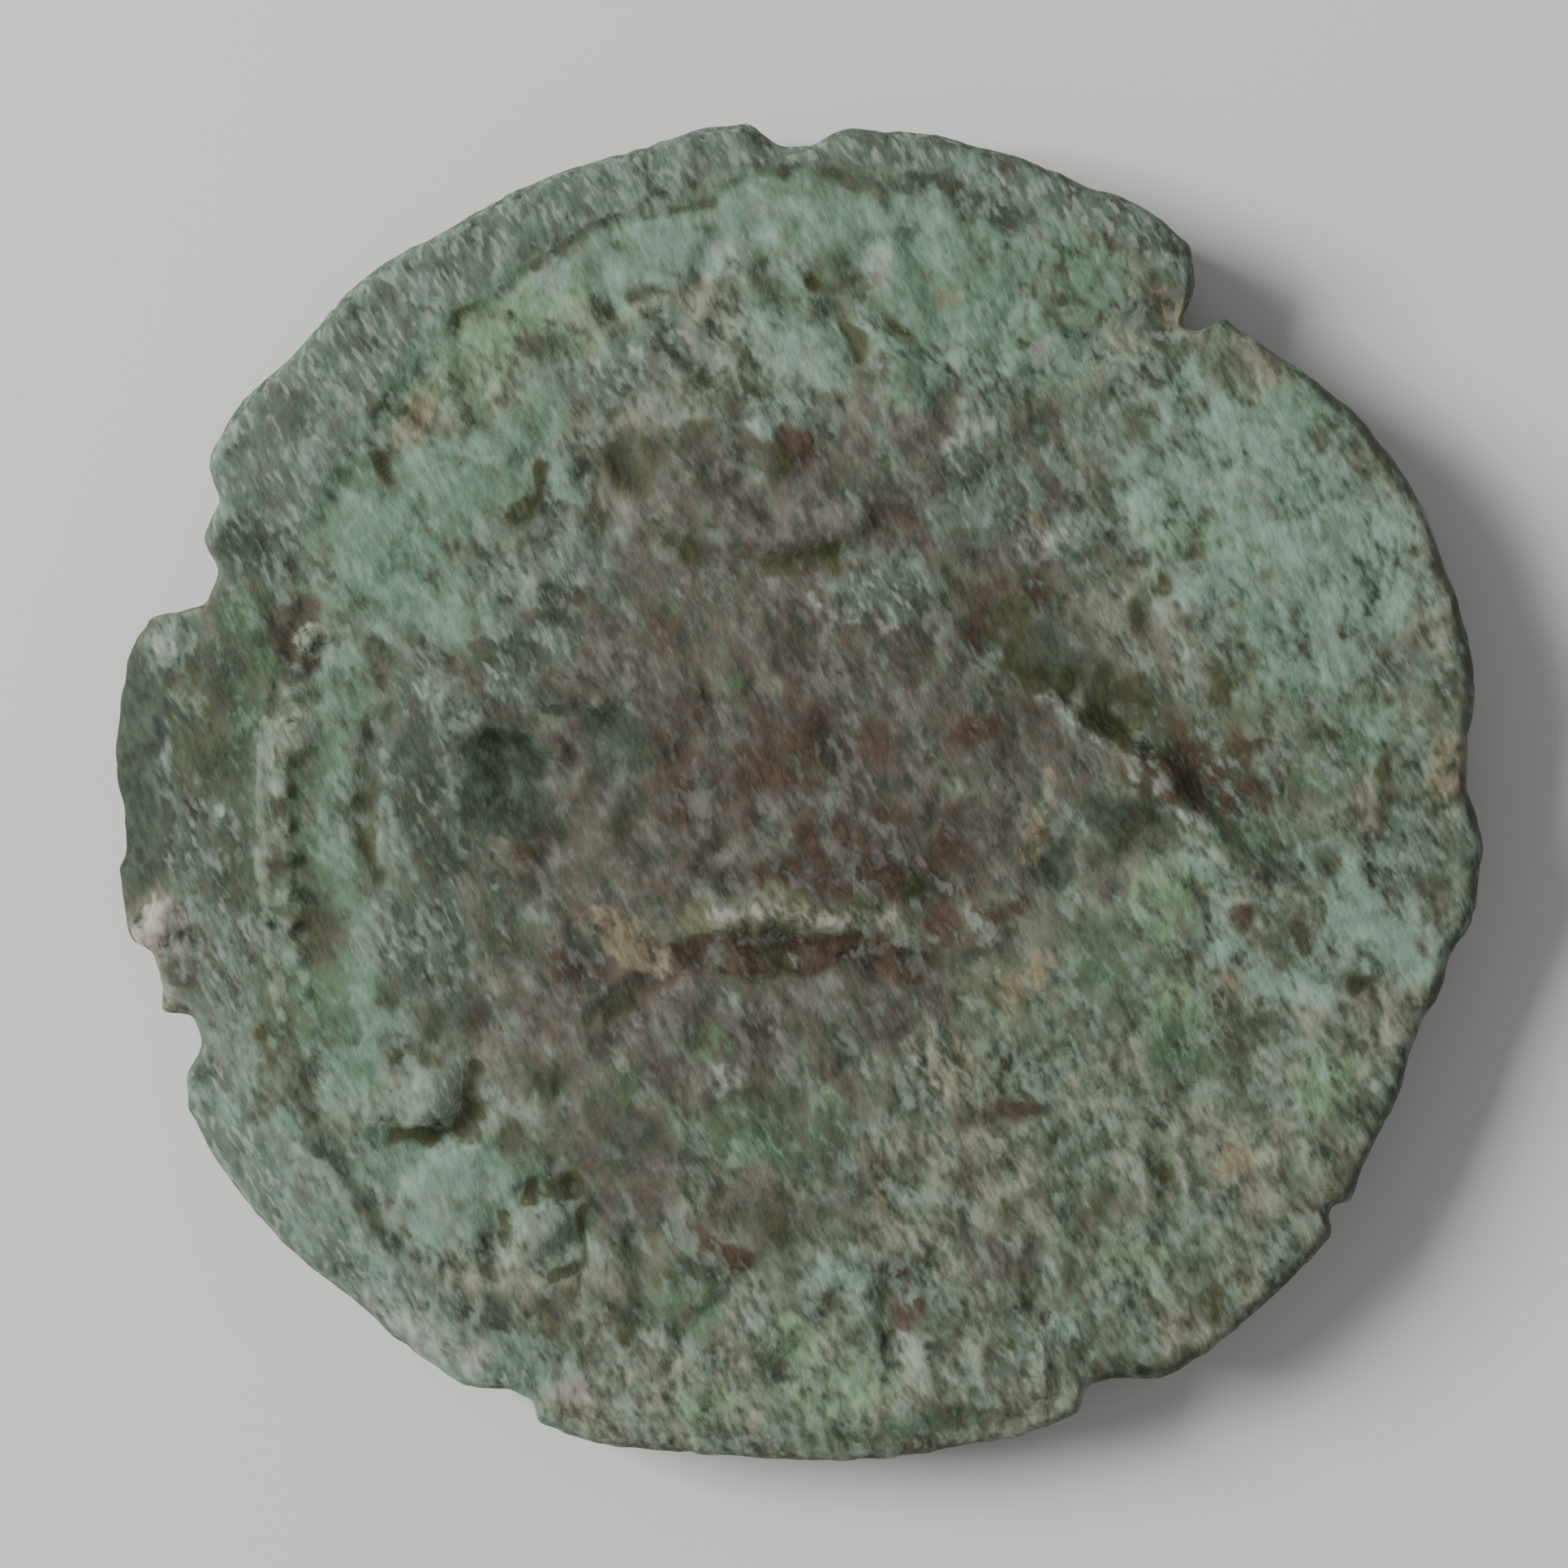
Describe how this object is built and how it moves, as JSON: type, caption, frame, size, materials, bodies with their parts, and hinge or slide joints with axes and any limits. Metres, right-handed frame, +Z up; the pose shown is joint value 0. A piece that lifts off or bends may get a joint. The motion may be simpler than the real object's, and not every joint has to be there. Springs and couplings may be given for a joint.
{
  "type": "worn struck bronze coin",
  "caption": "Worn ancient coin with a chipped round flan, bevelled edge, border groove and low relief under a green crust.",
  "frame": {"origin": "on the table, under the middle of the flan's bounding box", "axes": "+Z up out of the obverse, +X to the right and +Y to the top of the obverse as pictured"},
  "size_m": [0.0241, 0.0235, 0.003],
  "materials": {
    "corroded_bronze": "struck bronze under a matt grey-green and brown crust of corrosion, with rough pinkish grey patches on the rim"
  },
  "bodies": {
    "root": {"coin": "corroded_bronze"}
  },
  "joints": []
}
